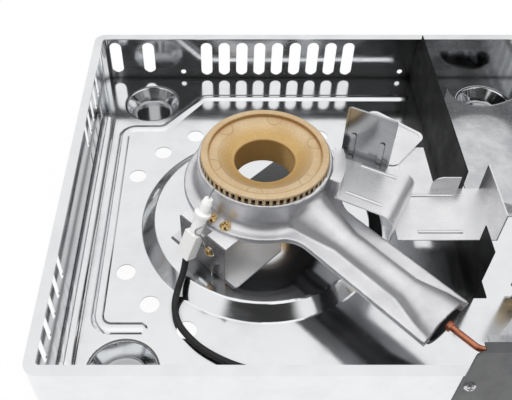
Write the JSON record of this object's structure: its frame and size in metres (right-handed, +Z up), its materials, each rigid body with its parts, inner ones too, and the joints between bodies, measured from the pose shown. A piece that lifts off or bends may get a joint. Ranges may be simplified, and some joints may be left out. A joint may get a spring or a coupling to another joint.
{
  "type": "portable gas stove",
  "caption": "Portable gas stove with its top cover off: bright slotted tray, round burner with brass cap and mixing tube, heat plates, knob valve and lever-worked cartridge bay.",
  "frame": {"origin": "middle of the stove's footprint, on the table under the rubber feet", "axes": "+Z up, -Y the front with the knob and lever, +X the cartridge side"},
  "size_m": [0.34, 0.3028, 0.099],
  "materials": {
    "bright_sheet": "bright rolled stainless sheet, almost a mirror",
    "foot_rubber": "matte black rubber",
    "die_cast": "satin die casting",
    "cap_brass": "matte, finely grained",
    "screw_brass": "plated, satin",
    "stand_sheet": "rolled sheet",
    "white_ceramic": "unglazed white",
    "white_sleeve": "matte white",
    "spark_steel": "drawn wire",
    "lead_black": "matte black jacket",
    "heat_aluminium": "satin sheet",
    "shield_bright": "bright sheet",
    "rear_aluminium": "dull satin sheet",
    "wall_sheet": "bright rolled sheet",
    "jet_copper": "red copper alloy",
    "governor_zinc": "die casting",
    "collar_brass": "turned",
    "seal_rubber": "matte black rubber",
    "panel_paint": "satin dark paint",
    "screw_steel": "zinc plated",
    "knob_plastic": "fine grained black",
    "shaft_steel": "turned",
    "piezo_plastic": "moulded",
    "plunger_plastic": "moulded",
    "boot_rubber": "matte black",
    "lever_steel": "plated sheet",
    "grip_plastic": "fine grained black"
  },
  "bodies": {
    "stove": {"lower_case": "bright_sheet", "rubber_feet": "foot_rubber", "burner_upper": "die_cast", "burner_lower": "die_cast", "burner_cap": "cap_brass", "burner_screws": "screw_brass", "burner_stand": "stand_sheet", "stand_screw": "screw_brass", "lock_tab": "bright_sheet", "electrode_sleeve": "white_sleeve", "electrode_ceramic": "white_ceramic", "spark_wire": "spark_steel", "electrode_clip": "wall_sheet", "ignition_lead": "lead_black", "heat_plate": "heat_aluminium", "flame_shield": "shield_bright", "rear_heat_plate": "rear_aluminium", "heat_bridge": "heat_aluminium", "partition": "wall_sheet", "cartridge_cradle": "wall_sheet", "gas_jet": "jet_copper", "governor_body": "governor_zinc", "governor_cover": "governor_zinc", "governor_screws": "screw_steel", "inlet_collar": "collar_brass", "inlet_seal": "seal_rubber", "valve_bracket": "wall_sheet", "front_panel": "panel_paint", "panel_screws": "screw_steel", "piezo_igniter": "piezo_plastic", "terminal_boot": "boot_rubber", "lever_bracket": "wall_sheet", "lever_pin": "shaft_steel", "slide_guides": "wall_sheet"},
    "knob": {"control_knob": "knob_plastic", "valve_shaft": "shaft_steel"},
    "plunger": {"igniter_plunger": "plunger_plastic"},
    "lever": {"cartridge_lever": "lever_steel", "lever_grip": "grip_plastic"},
    "pusher": {"cartridge_pusher": "lever_steel"}
  },
  "joints": [
    {"name": "knob_turn", "type": "hinge", "parent": "stove", "child": "knob", "pos_m": [0.102, -0.1336, 0.053], "axis": [0, -1, 0], "range_deg": [0, 110]},
    {"name": "igniter_press", "type": "slide", "parent": "stove", "child": "plunger", "axis": [0, 0, -1], "range_m": [0, 0.00405]},
    {"name": "lever_turn", "type": "hinge", "parent": "stove", "child": "lever", "pos_m": [0.151, -0.0846, 0.043], "axis": [1, 0, 0], "range_deg": [0, 30]},
    {"name": "pusher_slide", "type": "slide", "parent": "stove", "child": "pusher", "axis": [0, -1, 0], "range_m": [0, 0.0083]}
  ],
  "couplings": [
    {"joint": "igniter_press", "follows": "knob_turn", "m_per_rad": 0.0020971},
    {"joint": "pusher_slide", "follows": "lever_turn", "m_per_rad": 0.015818}
  ]
}
